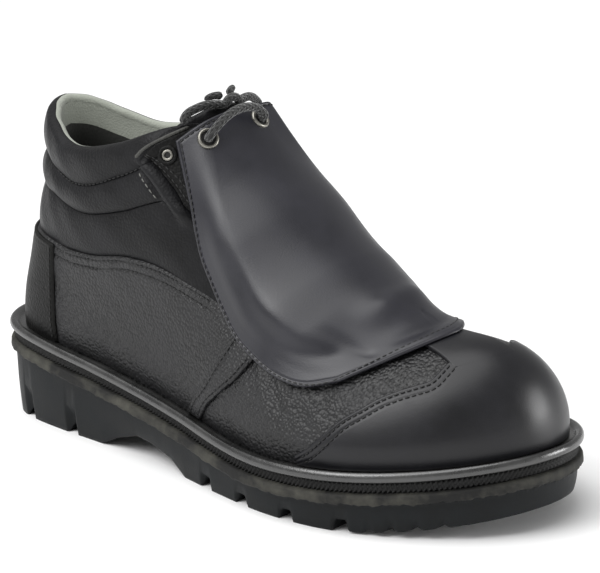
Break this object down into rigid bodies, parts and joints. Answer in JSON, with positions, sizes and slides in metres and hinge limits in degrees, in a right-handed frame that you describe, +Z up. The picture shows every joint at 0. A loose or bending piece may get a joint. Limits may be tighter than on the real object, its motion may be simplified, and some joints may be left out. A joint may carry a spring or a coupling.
{
  "type": "metatarsal guard safety boot",
  "caption": "Right black leather safety boot with a padded collar, toe cap, a metatarsal guard flap over the instep, laces and a lugged rubber sole.",
  "frame": {"origin": "centre of the boot's outline on the floor it stands on", "axes": "+X from heel to toe, +Z up, -Y towards the outer side of the foot"},
  "size_m": [0.3017, 0.1154, 0.1616],
  "materials": {
    "sole_rubber": "moulded",
    "insole_textile": "woven",
    "grain_leather": "pebbled",
    "smooth_leather": "smooth",
    "guard_leather": "semi gloss",
    "plated_steel": "plated",
    "lace_polyester": "braided"
  },
  "bodies": {
    "root": {"outsole": "sole_rubber", "midsole": "sole_rubber", "welt": "sole_rubber", "insole": "insole_textile", "upper": "grain_leather", "toe_cap": "smooth_leather", "back_strip": "smooth_leather", "band_outer": "grain_leather", "band_inner": "grain_leather", "eyestay_outer": "smooth_leather", "eyestay_inner": "smooth_leather", "tongue": "smooth_leather", "met_guard": "guard_leather", "guard_eyelet_outer": "plated_steel", "guard_eyelet_inner": "plated_steel", "eyelet_outer_1": "plated_steel", "eyelet_outer_2": "plated_steel", "eyelet_outer_3": "plated_steel", "eyelet_inner_1": "plated_steel", "eyelet_inner_2": "plated_steel", "eyelet_inner_3": "plated_steel", "lace_crossings": "lace_polyester", "guard_lace": "lace_polyester", "lace_knot": "lace_polyester", "lace_loop_outer": "lace_polyester", "lace_loop_inner": "lace_polyester", "lace_end_outer": "lace_polyester", "lace_end_inner": "lace_polyester"}
  },
  "joints": []
}
